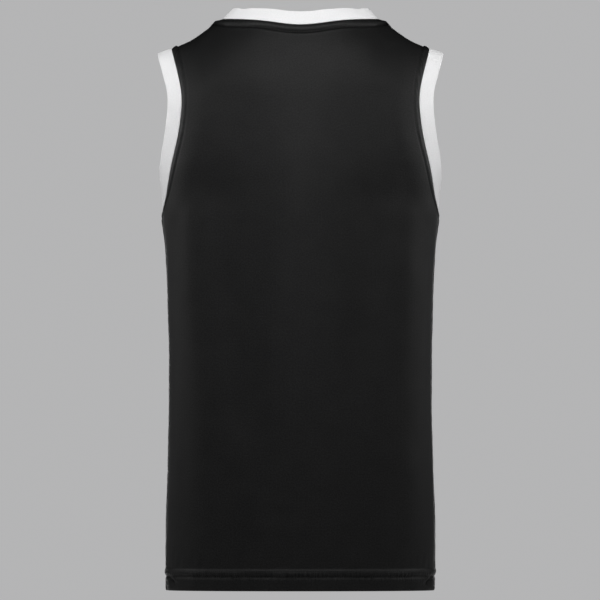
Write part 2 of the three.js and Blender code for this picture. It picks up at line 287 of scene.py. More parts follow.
def torso_heights():
    """The rows from the hem to the underarm, closer at the hem's fold and stitching."""
    rows = np.concatenate(
        [
            [0, 0.15, 0.45, 0.9, 1.5, 2.4, 3.6],
            np.arange(5, 17, 1.7),
            np.arange(17.6, 30, 0.6),
        ]
    )
    up = np.arange(rows[-1] + 1.2, BODY_LENGTH - UNDERARM_DROP - 1, TORSO_STEP)
    return np.concatenate([rows, up]) - BODY_LENGTH


def yoke_shares():
    """The rows from the underarm to the top edge, closer at both ends."""
    start = np.array([0, 0.0015, 0.005, 0.01, 0.017, 0.026])
    middle = np.arange(0.038, 1 - TOP_SHARE - YOKE_STEP / 2, YOKE_STEP)
    top = np.linspace(1 - TOP_SHARE, 1, TOP_CELLS + 1)
    return np.concatenate([start, middle, top])


def panel_form(panel):
    """A panel's smooth form on its grid: points, outward normals and girth, in rows from the hem up."""
    shares = column_shares()
    shares = np.concatenate([shares[:0:-1], shares])
    hand = np.concatenate([-np.ones(len(shares) // 2), np.ones(len(shares) // 2 + 1)])
    shoulder_angle = math.asin(ARMHOLE_SHARE)
    rise = float(top_of_column(panel, np.array([shoulder_angle]))[0]) + UNDERARM_DROP
    tops = top_of_column(panel, QUARTER - shares * (QUARTER - shoulder_angle))
    torso = torso_heights()
    yoke = yoke_shares()
    z = np.concatenate(
        [
            np.repeat(torso[:, None], len(shares), axis=1),
            yoke[:, None] * (tops + UNDERARM_DROP) - UNDERARM_DROP,
        ]
    )
    edge = np.concatenate([np.zeros(len(torso)), armhole_angle(panel, rise * yoke, rise)])
    angle = QUARTER - shares * (QUARTER - edge[:, None])
    points = form_point(panel, angle, z, hand)
    normals = form_normal(panel, points)
    girth = hand * HALF_GIRTH * (1 - angle / QUARTER)
    folded = points + normals * fold_height(panel, girth, z)[..., None]
    folded[..., 1] -= SIDE[panel] * SEAM_LAP / 2
    return {"panel": panel, "points": folded, "normals": normals, "girth": girth, "first_yoke": len(torso)}


def neck_columns(form):
    """The columns that end at the neck seam."""
    centre = form["points"].shape[1] // 2
    return slice(centre - NECK_CELLS, centre + NECK_CELLS + 1)


def distance_to(points, line):
    """How far each point is from a line of points."""
    start, end = line[:-1], line[1:]
    along = end - start
    length = np.maximum((along**2).sum(-1), 1e-9)
    best = np.full(points.shape[:-1], 1e9)
    for a, d, n in zip(start, along, length):
        t = np.clip(((points - a) @ d) / n, 0, 1)
        near = a + t[..., None] * d
        best = np.minimum(best, np.linalg.norm(points - near, axis=-1))
    return best


def seam_distances(form):
    """How far each point of a panel is from each of its seams and from its hem."""
    points = form["points"]
    neck = neck_columns(form)
    first = form["first_yoke"]
    last = points.shape[1] - 1
    lines = {
        "neck": points[-1, neck],
        "arm_left": points[first:, last],
        "arm_right": points[first:, 0],
        "side_left": points[: first + 1, last],
        "side_right": points[: first + 1, 0],
        "shoulder_left": points[-1, neck.stop - 1 :],
        "shoulder_right": points[-1, : neck.start + 1],
    }
    distances = {name: distance_to(points, line) for name, line in lines.items()}
    for name in ("arm", "side", "shoulder"):
        distances[name] = np.minimum(distances[name + "_left"], distances[name + "_right"])
    distances["hem"] = points[..., 2] + BODY_LENGTH
    outer_neck = smooth((np.abs(points[..., 0]) - 50) / 38)
    distances["neck_row"] = distances["neck"] - NECK_ROW - NECK_ROW_SIDES * outer_neck
    return distances


def ripple(u, v, lengths, seed):
    """Uneven soft waves, the same each time."""
    total = np.zeros(np.broadcast(u, v).shape)
    for i, length in enumerate(lengths):
        phase = 2.399 * (i + 1) * (seed + 1)
        slant = math.sin(1.7 * (i + 1) + seed)
        total += np.sin(2 * math.pi * (u + slant * v) / length + phase)
    return total / len(lengths)


# The hem: a fold of cloth turned up inside and held by two rows of stitching
HEM_ROWS = (19.1, 25.9)
HEM_TURN = 28.5  # raw edge of the turned-up cloth, inside
HEM_PUFF = 0.5
HEM_DITCHES = (0.8, 0.3)  # how deep each row of stitching sinks in
HEM_ROLL = 1.15  # how high the cloth stands between the rows
HEM_CLOTH = 1.9
CLOTH = 1.0  # thickness of the knit as it is made here

# The other sewing
NECK_ROW = 11.7  # the stitching below the neck seam, at the centre
NECK_ROW_SIDES = 2.9  # how much lower it is near the shoulders
ARMHOLE_ROW = 10.0  # the stitching beside the armhole seam
NECK_DITCH = 1.7
NECK_DITCH_CENTRE = {"back": 0.6, "front": 0.1}  # how much deeper it is at the centre
ARMHOLE_DITCH = 1.1
ARMHOLE_ROLL = 2.2  # how high the cloth rolls up beside the lower armhole
PRESSED_WIDTHS = {"side": 6.5, "shoulder": 6.5, "arm": 12.5, "neck": 15.5}  # allowances inside


def hem_relief(form, seams):
    """The hem's outer face: it puffs out below its two rows of stitching, which pull it in."""
    height, girth = seams["hem"], form["girth"]
    relief = HEM_PUFF * smooth(height / 3) * (1 - smooth((height - 15) / 5))
    unevenness = 1 + 0.4 * ripple(girth, 0 * height, (31, 57, 83), 5)
    low, high = HEM_ROWS
    relief = relief - HEM_DITCHES[0] * unevenness * bump(height, low, np.where(height < low, 2.6, 1.2))
    ridge = smooth((height - low - 0.4) / 4.6) * (1 - smooth((height - high + 0.4) / 4.4))
    relief = relief + HEM_ROLL * (0.8 + 0.2 * unevenness) * ridge
    relief = relief - HEM_DITCHES[1] * bump(height, high, 0.7)
    gathers = ripple(girth, 0.25 * height, (13, 19, 29), 3)
    relief = relief + 0.25 * gathers * bump(height, low + 3.4, 3.4)
    return relief + 0.3 * (1 - smooth((height - HEM_TURN + 1) / 3)) * smooth((height - 24) / 3)


# A tuck in the hem by each side: side, girth, height and depth
TUCKS = ((1, 201, 12.5, 3.6), (-1, 199, 12.0, 4.2))


def hem_slack(form, seams):
    """Waves of the whole cloth along the hem, the slack above its stitching, and a tuck by each side."""
    height, girth = seams["hem"], form["girth"]
    slack = ripple(girth, 0.2 * height, (37, 61, 94), 8)
    wave = 0.75 * slack * (1 - smooth((height - 4) / 26))
    fade = smooth((height - 24) / 10) * (1 - smooth((height - 30) / 34))
    wave = wave + 0.4 * ripple(girth, 0.8 * height, (17.5, 26.5, 41), 11) * fade
    for hand, along, up, depth in TUCKS:
        out = hand * girth - along
        tilted = height - up - 0.22 * out
        wave = wave - depth * np.exp(-((out / 11) ** 2) - (tilted / 4.0) ** 2)
        wave = wave + 0.35 * depth * np.exp(-(((out + 6) / 15) ** 2) - ((tilted - 7.0) / 3.2) ** 2)
    return wave


def seam_relief(form, seams):
    """Ditches at the seams, with the pressed allowances standing up beside them."""
    x, z = form["points"][..., 0], form["points"][..., 2]
    neck, arm, side, shoulder = (seams[name] for name in ("neck", "arm", "side", "shoulder"))
    neck_row = seams["neck_row"]
    relief = np.zeros_like(neck)

    # The neck: its seam, the pressed strip, and the row of stitching below that
    ditch = NECK_DITCH + NECK_DITCH_CENTRE[form["panel"]] * np.exp(-((x / 45) ** 2))
    open_neck = 1 - np.exp(-((shoulder / 12) ** 2))
    relief -= 0.7 * np.exp(-((neck / 0.8) ** 2))
    relief += 0.8 * smooth(neck / 2) * (1 - smooth((neck_row + 4.2) / 2.6))
    relief -= ditch * open_neck * bump(neck_row, 0, 1.9)
    relief += 0.4 * bump(neck_row, 4.2, 2.1)

    # The armholes: the same, and the cloth that rolls up beside their lower part
    uneven = 1 + 0.3 * ripple(z, 0 * z, (23, 37, 59), 7)
    relief -= 0.6 * np.exp(-((arm / 0.8) ** 2))
    relief -= ARMHOLE_DITCH * bump(arm, ARMHOLE_ROW, 1.35)
    relief += 0.6 * uneven * smooth(arm / 3.0) * (1 - smooth((arm - 6.6) / 2.6))
    relief += ARMHOLE_ROLL * smooth((-50 - z) / 70) * smooth(arm / 11) * (1 - smooth((arm - 11) / 40))

    # The side and shoulder seams, and the thick crossings at both ends of the shoulder
    relief -= 0.7 * np.exp(-((side / 0.9) ** 2))
    relief += (0.35 + 0.18 * ripple(z, 0 * z, (13, 19, 29), 2)) * bump(side, 4.0, 3.2)
    relief -= 0.5 * np.exp(-((shoulder / 0.8) ** 2))
    relief += 0.32 * bump(shoulder, 3.6, 3.2)
    relief += 2.6 * np.exp(-(((neck - 12) / 6) ** 2) - (shoulder / 11) ** 2)
    relief += 1.3 * np.exp(-(((arm - 7.0) / 4.2) ** 2) - (shoulder / 8) ** 2)
    return relief


# Painted light: how much lighter the strip beside each armhole is painted, from the underarm up
PAINTED_STRIP_LIGHT = [
    {"z": -256, "tone": 0.25},
    {"z": -228, "tone": 0.55},
    {"z": -188, "tone": 0.82},
    {"z": -150, "tone": 0.72},
    {"z": -112, "tone": 0.4},
    {"z": -70, "tone": 0.36},
    {"z": -40, "tone": 0.25},
]
DARKEST_PAINTED_SHADE = -0.7  # the darkest painted shade: a ditch keeps the rest of its tone


def painted_seam_shading(form, seams):
    """Painted light and shade at the sewing: how much lighter the strips beside the seams are painted, and
    how much darker the ditches, the shoulder seams and the tucks.
    """
    x, z = form["points"][..., 0], form["points"][..., 2]
    arm, neck_row, hem = seams["arm"], seams["neck_row"], seams["hem"]
    low, high = HEM_ROWS
    strip = np.interp(z, [row["z"] for row in PAINTED_STRIP_LIGHT], [row["tone"] for row in PAINTED_STRIP_LIGHT])
    # Painted light on the strip beside each armhole, fading away from it
    tone = strip * (1 - smooth((arm - 9) / 34))
    # Painted shade in the ditch of the armhole stitching, deeper lower down
    tone = tone - (0.35 + 0.45 * smooth((-130 - z) / 50)) * bump(arm, ARMHOLE_ROW, 1.6)
    # Painted light on the strip between the neck seam and its stitching
    tone = tone + (0.7 - 0.4 * np.exp(-((x / 42) ** 2))) * bump(neck_row, -4.6, 2.5)
    # Painted shade in the ditch of the neck stitching
    tone = tone - 0.45 * bump(neck_row, 0, 2.0)
    # Painted shade along each shoulder seam
    tone = tone - 0.6 * np.exp(-((seams["shoulder"] / 22) ** 2))
    # Painted shade in the ditch of the lower hem stitching, and painted light just above the upper row
    tone = tone - 0.38 * bump(hem, low, 1.7)
    tone = tone + 0.3 * (1 - np.exp(-((x / 70) ** 2))) * bump(hem, high + 1.2, 1.3)
    # Painted shade in the tuck by each side of the hem
    for hand, girth, up, _ in TUCKS:
        away = ((hand * form["girth"] - girth) / 11) ** 2 + ((hem - up) / 4.5) ** 2
        tone = tone - 0.6 * np.exp(-away)
    return np.maximum(tone, DARKEST_PAINTED_SHADE)


def gathering(form, seams):
    """Where the sewing bunches the knit into fine puckers, from 0 to 1."""
    girth = form["girth"]
    bunched = 0.55 + 0.45 * ripple(girth, 0 * girth, (67, 113), 2)
    hem = bunched * bump(seams["hem"], HEM_ROWS[0] + 3.2, 3.4) + 0.3 * bump(seams["hem"], HEM_ROWS[0] - 4, 4)
    neck = 0.4 * bump(seams["neck"], 5, 4)
    arm = 0.5 * bump(seams["arm"], 6, 5)
    side = 0.45 * bump(seams["side"], 3, 4)
    return np.clip(hem + neck + arm + side, 0, 1)


# Pull lines from the underarms: height at the side seam, tilt, half width and depth
PULL_LINES = ((-262, 0.42, 7, 1.1), (-281, 0.3, 9, 0.8), (-246, 0.62, 6, 0.7))
PULL_STRENGTH = {"back": 0.35, "front": 1.0}

# Shallow waves that sag above the hem: height, girth, sag, half width and rise
SAGS = ((-678, 14, 0.0040, 11, 0.5), (-648, -20, 0.0028, 9, 0.28))

BLADE_HOLLOW = 3.4  # below each shoulder blade, on the back
DRAPE_SEED = {"back": 1, "front": 4}


def drape_relief(form, seams):
    """The small unevenness of a hanging knit, and the pull lines at the underarms."""
    panel, girth, z = form["panel"], form["girth"], form["points"][..., 2]
    seed = DRAPE_SEED[panel]
    relief = 0.55 * ripple(girth, 0.35 * z, (71, 103, 149), seed)
    relief += 0.35 * ripple(z, 0.5 * girth, (83, 127, 181), seed + 2)
    for hand, strength in ((1, 1.0), (-1, 0.8)):
        out = hand * girth
        reach = smooth((out - 150) / 60) * (1 - smooth((out - 238) / 16))
        for start, tilt, width, depth in PULL_LINES:
            line = start - tilt * (HALF_GIRTH - out)
            relief -= PULL_STRENGTH[panel] * strength * depth * reach * bump(z, line, width)
    for level, centre, sag, width, rise in SAGS:
        line = level + sag * (girth - centre) ** 2
        relief += rise * np.exp(-(((girth - centre) / 82) ** 2)) * bump(z, line, width)
    if panel == "back":
        hollow = smooth((-182 - z) / 74) * (1 - smooth((-266 - z) / 260))
        relief -= BLADE_HOLLOW * hollow * np.exp(-(((np.abs(girth) - 98) / 42) ** 2))
    quiet = smooth(np.minimum(seams["neck"], np.minimum(seams["arm"], seams["shoulder"])) / 12)
    return relief * quiet * smooth(seams["hem"] / 30)


def inside_depth(form, seams):
    """How thick the cloth is, with the hem's second layer and the pressed edges of the seams inside."""
    height = seams["hem"]
    turned = 1 - smooth((height - HEM_TURN) / 0.8)
    thick = CLOTH + (HEM_CLOTH - CLOTH) * turned
    overlock = 0.12 * ripple(form["points"][..., 2], form["girth"], (4.1, 5.3), 1)
    for name, width in PRESSED_WIDTHS.items():
        inside = 1 - smooth((seams[name] - width) / 0.9)
        thick = thick + (0.8 + overlock) * inside * smooth(seams[name] / 1.2) * (1 - 0.8 * turned)
    thick = thick + 1.3 * bump(seams["neck_row"], 0, 2.2) + 0.5 * bump(seams["arm"], ARMHOLE_ROW, 1.2)
    threads = 0.22 * ripple(form["girth"], 0 * height, (3.1,), 2)
    for row in HEM_ROWS:
        thick = thick + (0.3 + threads) * bump(height, row, 1.2)
    return thick


def shell_faces(rows, columns):
    """The quads of a closed wall: an outer and an inner grid, joined round the edge."""
    number = np.arange(rows * columns).reshape(rows, columns)
    quads = np.stack([number[:-1, :-1], number[:-1, 1:], number[1:, 1:], number[1:, :-1]], axis=-1)
    outer = quads.reshape(-1, 4)
    inner = outer[:, ::-1] + rows * columns
    ring = np.concatenate([number[0, :-1], number[:-1, -1], number[-1, :0:-1], number[:0:-1, 0]])
    after = np.roll(ring, -1)
    rim = np.stack([after, ring, ring + rows * columns, after + rows * columns], axis=-1)
    return np.concatenate([outer, inner, rim])


def add_mesh(name, points, faces, material, uv):
    """A mesh from points in millimetres, smooth, with its faces pointing out."""
    triangles = np.concatenate([faces[:, [0, 1, 2]], faces[:, [0, 2, 3]]])
    a, b, c = (points[triangles[:, i]] for i in range(3))
    if (a * np.cross(b, c)).sum() < 0:
        faces = faces[:, ::-1]
    mesh = bpy.data.meshes.new(name)
    mesh.from_pydata((points * MM).tolist(), [], faces.tolist())
    mesh.polygons.foreach_set("use_smooth", np.ones(len(faces), bool))
    corner = np.zeros(len(mesh.loops), np.int32)
    mesh.loops.foreach_get("vertex_index", corner)
    layer = mesh.uv_layers.new(name="cloth")
    layer.data.foreach_set("uv", (uv[corner] * MM).astype(np.float32).ravel())
    mesh.materials.append(material)
    mesh.update()
    piece = bpy.data.objects.new(name, mesh)
    bpy.context.scene.collection.objects.link(piece)
    return piece


def cloth_lengths(points):
    """Lengths along the cloth, across from the centre line and up from the hem."""
    across = np.zeros(points.shape[:2])
    across[:, 1:] = np.cumsum(np.linalg.norm(np.diff(points, axis=1), axis=-1), axis=1)
    centre = points.shape[1] // 2
    across = across - across[:, centre : centre + 1]
    up = np.zeros(points.shape[:2])
    up[1:] = np.cumsum(np.linalg.norm(np.diff(points, axis=0), axis=-1), axis=0)
    return np.stack([across, up], axis=-1)


def make_panel(form, seams, material):
    """A panel as a closed thin shell, with its hem folded round and its seams and stitch rows pressed in."""
    hang = (drape_relief(form, seams) + hem_slack(form, seams))[..., None]
    detail = hem_relief(form, seams) + seam_relief(form, seams)
    half = HEM_CLOTH / 2
    inset = np.clip(1 - seams["hem"] / half, 0, 1)
    fold = half * (1 - np.sqrt(1 - 0.99 * inset**2))
    outer = form["points"] + form["normals"] * (hang + (detail - fold)[..., None])
    inner = form["points"] + form["normals"] * (hang - (inside_depth(form, seams) - fold)[..., None])
    rows, columns = detail.shape
    points = np.concatenate([outer.reshape(-1, 3), inner.reshape(-1, 3)])
    lengths = cloth_lengths(form["points"]).reshape(-1, 2)
    uv = np.concatenate([lengths, lengths])
    form["outer"] = outer
    piece = add_mesh("jersey_" + form["panel"], points, shell_faces(rows, columns), material, uv)
    # The puckers' mask, and the painted light and shade at the sewing, go to the material as attributes
    for attribute, amount in (("gathering", gathering(form, seams)), ("painted_seam_shading", painted_seam_shading(form, seams))):
        layer = piece.data.attributes.new(attribute, "FLOAT", "POINT")
        layer.data.foreach_set("value", np.tile(amount.ravel(), 2).astype(np.float32))
    return piece


# The bands, each a strip folded double
BAND_PLY = 0.8
BAND_THICKNESS = 2.2
BAND_TOP = 0.35  # height of its outer face above the panel's
BAND_SPACING = 2.2  # between rings of points along it


def smooth_loop(loop, stations):
    """Points of a closed smooth curve through a loop of points, at given lengths along it."""
    steps = np.linalg.norm(np.roll(loop[:, :3], -1, axis=0) - loop[:, :3], axis=1)
    at = np.concatenate([[0], np.cumsum(steps)])
    i = np.clip(np.searchsorted(at, stations, side="right") - 1, 0, len(loop) - 1)
    u = ((stations - at[i]) / steps[i])[:, None]
    count = len(loop)
    before, start, end, after = (loop[(i + k) % count] for k in (-1, 0, 1, 2))
    h0, h1, h2 = steps[(i - 1) % count][:, None], steps[i][:, None], steps[(i + 1) % count][:, None]
    leave = ((start - before) / h0 * h1 + (end - start) / h1 * h0) / (h0 + h1) * h1
    arrive = ((end - start) / h1 * h2 + (after - end) / h2 * h1) / (h1 + h2) * h1
    return (
        start * (2 * u**3 - 3 * u**2 + 1)
        + leave * (u**3 - 2 * u**2 + u)
        + end * (3 * u**2 - 2 * u**3)
        + arrive * (u**3 - u**2)
    )


def join_loop(first, second):
    """Two edges that meet at both ends, as one loop: points and normals side by side in each row."""
    start = (first[0] + second[-1]) / 2
    end = (first[-1] + second[0]) / 2
    return np.concatenate([[start], first[1:-1], [end], second[1:-1]])


def edge_rows(form, rows, columns):
    """Points and normals along an edge of a panel, side by side in each row."""
    return np.concatenate([form["points"][rows, columns], form["normals"][rows, columns]], axis=-1)


def band_section():
    """A folded strip's section as a closed hairpin: distance from the seam, and height."""
    middle = BAND_TOP - BAND_THICKNESS / 2
    section = []
    for radius, outs in ((BAND_THICKNESS / 2, 1), (BAND_THICKNESS / 2 - BAND_PLY, -1)):
        bend = BAND_WIDTH - BAND_THICKNESS / 2
        flat = np.array([0, 0.5, 1.1, 2, 3.4, 5.2, 7.5, 10, 12.5, 14.8, 16.8, bend])
        turn = np.linspace(0, math.pi, 9)[1:-1]
        upper = [(x, radius, 1) for x in flat]
        round_ = [(bend + radius * math.sin(t), radius * math.cos(t), math.cos(t)) for t in turn]
        lower = [(x, -radius, -1) for x in flat[::-1]]
        section += (upper + round_ + lower)[::outs]
    out = np.array([s[0] for s in section])
    level = np.array([s[1] for s in section])
    face = np.array([s[2] for s in section])
    crown = 0.28 * face * np.sin(math.pi * np.clip(out / BAND_WIDTH, 0, 1)) ** 0.8
    pinch = -face * 0.55 * np.exp(-((out / 1.0) ** 2)) - face * 0.12 * bump(out, 2.6, 1.0)
    return out, middle + level + crown + pinch, face


def make_band(name, loop, towards, amount, join_at, material):
    """A folded band sewn along a loop of panel edges, and joined end to end at one place."""
    steps = np.linalg.norm(np.roll(loop[:, :3], -1, axis=0) - loop[:, :3], axis=1)
    length = steps.sum()
    join = np.concatenate([[0], np.cumsum(steps)])[join_at]
    at_join = np.array([-3.2, -2.2, -1.5, -1.0, -0.65, -0.35, 0, 0.35, 0.65, 1.0, 1.5, 2.2, 3.2])
    count = int((length - 8) / BAND_SPACING)
    stations = np.sort((join + np.concatenate([at_join, np.linspace(4, length - 4, count)])) % length)
    from_join = (stations - join + length / 2) % length - length / 2
    row = smooth_loop(loop, stations)
    base, normal = row[:, :3], unit(row[:, 3:])
    along = unit(smooth_loop(loop, (stations + 0.5) % length) - smooth_loop(loop, (stations - 0.5) % length))
    along = unit(along[:, :3])
    reach = unit(np.cross(along, normal))
    middle = loop[:, :3].mean(axis=0)
    reach *= np.sign((reach * (middle - base)).sum(-1, keepdims=True))
    reach = reach + towards * amount(base)[:, None]
    reach = unit(reach - along * (reach * along).sum(-1, keepdims=True))
    face = unit(np.cross(along, reach))
    face *= np.sign((face * normal).sum(-1, keepdims=True))
    out, height, side = band_section()
    lie = smooth(out / 3.0)[None, :, None]
    raise_ = unit(normal[:, None, :] * (1 - lie) + face[:, None, :] * lie)
    s = stations[:, None]
    free = (out / BAND_WIDTH)[None, :] ** 2
    wave = 0.42 * ripple(s, 0 * s, (23.0, 37.0, 61.0), 6) * free
    sewn = 0.16 * ripple(s, 0 * s, (3.6, 5.1), 2) * side[None, :] * np.exp(-((out / 4.5) ** 2))[None, :]
    seam = -0.38 * side[None, :] * np.exp(-((from_join[:, None] / 0.8) ** 2))
    lift = height[None, :] + wave + sewn + seam
    reach_out = out[None, :] * (1 + 0.008 * ripple(s, 0 * s, (41.0, 67.0), 9)) - SEAM_LAP
    points = base[:, None] + reach[:, None] * reach_out[..., None] + raise_ * lift[..., None]
    rings, around = points.shape[:2]
    number = np.arange(rings * around).reshape(rings, around)
    ahead = np.roll(number, -1, axis=0)
    faces = np.stack([number, np.roll(number, -1, 1), np.roll(ahead, -1, 1), ahead], axis=-1)
    across = np.concatenate([[0], np.cumsum(np.hypot(np.diff(out), np.diff(height)))])
    uv = np.stack(np.broadcast_arrays(s, across[None, :]), axis=-1)
    piece = add_mesh(name, points.reshape(-1, 3), faces.reshape(-1, 4), material, uv.reshape(-1, 2))
    return piece, length


# The sewing. One stitch is modelled, and the rows are copies of it.
STITCH_LENGTH = 2.3
STITCH_PITCH = 3.0
THREAD = 0.42
ROW_REACH = 40  # how many grid steps from its seam a row of stitching may lie


def deselect_all():
    if bpy.context.object and bpy.context.object.mode != "OBJECT":
        bpy.ops.object.mode_set(mode="OBJECT")
    bpy.ops.object.select_all(action="DESELECT")


def model_stitch(material):
    """One arched stitch along X, whose ends go down into the cloth."""
    deselect_all()
    bpy.ops.mesh.primitive_cylinder_add(vertices=6, radius=THREAD / 2 * MM, depth=STITCH_LENGTH * MM)
    stitch = bpy.context.object
    bpy.ops.object.mode_set(mode="EDIT")
    bpy.ops.mesh.select_all(action="SELECT")
    bpy.ops.transform.rotate(value=QUARTER, orient_axis="Y", center_override=(0, 0, 0))
    for cut in (0.28, -0.28):
        bpy.ops.mesh.select_all(action="SELECT")
        bpy.ops.mesh.bisect(plane_co=(cut * STITCH_LENGTH * MM, 0, 0), plane_no=(1, 0, 0))
    bpy.ops.object.mode_set(mode="OBJECT")
    for edge in stitch.data.edges:
        edge.select = False
    for face in stitch.data.polygons:
        face.select = False
    drop = -0.45 * THREAD * MM
    for vertex in stitch.data.vertices:
        vertex.select = abs(vertex.co.x) > 0.45 * STITCH_LENGTH * MM
    bpy.ops.object.mode_set(mode="EDIT")
    bpy.ops.transform.translate(value=(0, 0, drop))
    bpy.ops.transform.resize(value=(1, 0.7, 0.7), center_override=(0, 0, drop))
    bpy.ops.object.mode_set(mode="OBJECT")
    bpy.ops.object.shade_smooth()
    stitch.data.materials.append(material)
    return stitch


def sew(name, stitch, rows):
    """A row of stitches along each line of points and normals, joined into one piece."""
    deselect_all()
    copies = []
    for line in rows:
        steps = np.linalg.norm(np.diff(line[:, :3], axis=0), axis=1)
        at = np.concatenate([[0], np.cumsum(steps)])
        count = int(at[-1] / STITCH_PITCH)
        for k in range(count):
            s = (k + 0.5) * at[-1] / count
            here, behind, ahead = (
                np.array([np.interp(s + d, at, line[:, i]) for i in range(6)]) for d in (0, -0.6, 0.6)
            )
            x = unit(ahead[:3] - behind[:3])
            y = unit(np.cross(unit(here[3:]), x))
            z = np.cross(x, y)
            copy = bpy.data.objects.new(name, stitch.data.copy())
            bpy.context.scene.collection.objects.link(copy)
            place = Matrix.Identity(4)
            for axis, column in enumerate((x, y, z, here[:3] * MM)):
                for i in range(3):
                    place[i][axis] = float(column[i])
            copy.matrix_world = place
            copies.append(copy)
    for copy in copies:
        copy.select_set(True)
    bpy.context.view_layer.objects.active = copies[0]
    bpy.ops.object.join()
    bpy.ops.object.transform_apply(location=True, rotation=True, scale=True)
    joined = bpy.context.object
    joined.name = name
    deselect_all()
    return joined


def line_on(form, rows, columns):
    """Points and normals on a panel's outer face, from fractional rows and columns."""
    r0 = np.clip(np.floor(rows).astype(int), 0, form["outer"].shape[0] - 2)
    c0 = np.clip(np.floor(columns).astype(int), 0, form["outer"].shape[1] - 2)
    u, v = (rows - r0)[:, None], (columns - c0)[:, None]
    both = np.concatenate([form["outer"], form["normals"]], axis=-1)
    return (
        both[r0, c0] * (1 - u) * (1 - v)
        + both[r0 + 1, c0] * u * (1 - v)
        + both[r0, c0 + 1] * (1 - u) * v
        + both[r0 + 1, c0 + 1] * u * v
    )


def crossing(values, level):
    """The first place, as a fraction of steps, at which values pass a level."""
    above = values >= level
    k = int(np.argmax(above[1:] != above[:-1]))
    if above[k] == above[k + 1]:
        return None
    return k + (level - values[k]) / (values[k + 1] - values[k])


def laid_in(line):
    """Lays the thread in its ditch, drawn a little into the cloth."""
    line[:, :3] -= unit(line[:, 3:]) * THREAD * 0.1
    return line


def hem_line(form, seams, height):
    """A row of stitching along the hem."""
    row = crossing(seams["hem"][:, 0], height)
    columns = np.arange(form["outer"].shape[1], dtype=float)
    return laid_in(line_on(form, np.full(len(columns), row), columns))


def neck_line(form, seams):
    """The stitching below the neck seam, out to the shoulder seams."""
    rows, columns = [], []
    last = form["outer"].shape[0] - 1
    for c in range(form["outer"].shape[1]):
        found = crossing(seams["neck_row"][::-1, c], 0)
        if found is not None and seams["neck_row"][last, c] < 0 and found < ROW_REACH:
            rows.append(last - found)
            columns.append(float(c))
    return laid_in(line_on(form, np.array(rows), np.array(columns)))


def armhole_line(form, seams, side):
    """The stitching beside an armhole seam, from the underarm to the shoulder."""
    rows, columns = [], []
    last = form["outer"].shape[1] - 1
    for r in range(form["first_yoke"], form["outer"].shape[0]):
        distance = seams["arm_" + side][r]
        distance = distance[::-1] if side == "left" else distance
        found = crossing(distance, ARMHOLE_ROW)
        if found is not None and distance[0] < ARMHOLE_ROW and found < ROW_REACH:
            rows.append(float(r))
            columns.append(last - found if side == "left" else found)
    return laid_in(line_on(form, np.array(rows), np.array(columns)))


# Finishes. Lengths in a material are in metres of cloth, from the piece's own map.
RIB_WAVE = 0.00095  # of cloth to a radian of the wave, so that the ribs repeat every 6.0 mm
LOOP_WAVE = 0.0007  # the same for the loops along a rib, which repeat every 4.4 mm
GLOSS = 0.17


def add_node(material, kind, inputs=None, **settings):
    """A new node with its settings, and a value for each input that is named or numbered."""
    node = material.node_tree.nodes.new("ShaderNode" + kind)
    for key, value in settings.items():
        setattr(node, key, value)
    for key, value in (inputs or {}).items():
        node.inputs[key].default_value = value
    return node


def connect(material, start, output, end, end_input):
    material.node_tree.links.new(start.outputs[output], end.inputs[end_input])


def loops_and_fuzz(material, uv):
    """The height of the knit: ribs crossed by loops, and the fuzz on them."""
    ribs = add_node(
        material,
        "TexWave",
        {"Scale": 1 / (20 * RIB_WAVE), "Distortion": 0.6, "Detail": 1.0, "Detail Scale": 3.0},
        wave_type="BANDS",
        bands_direction="X",
    )
    loops = add_node(
        material,
        "TexWave",
        {"Scale": 1 / (20 * LOOP_WAVE), "Distortion": 0.8, "Detail": 1.0},
        wave_type="BANDS",
        bands_direction="Y",
    )
    fuzz = add_node(material, "TexNoise", {"Scale": 2600.0, "Detail": 2.0})
    for texture in (ribs, loops, fuzz):
        connect(material, uv, "UV", texture, "Vector")
    knitted = add_node(material, "Math", operation="MULTIPLY")
    connect(material, ribs, "Fac", knitted, 0)
    connect(material, loops, "Fac", knitted, 1)
    height = add_node(material, "Math", {1: 0.45}, operation="MULTIPLY_ADD")
    connect(material, fuzz, "Fac", height, 0)
    connect(material, knitted, "Value", height, 2)
    return height


def spread_out(material, source, low, high):
    """A noise's middle range, stretched to run from low to high."""
    inputs = {"From Min": 0.3, "From Max": 0.7, "To Min": low, "To Max": high}
    stretched = add_node(material, "MapRange", inputs)
    connect(material, source, "Fac", stretched, "Value")
    return stretched


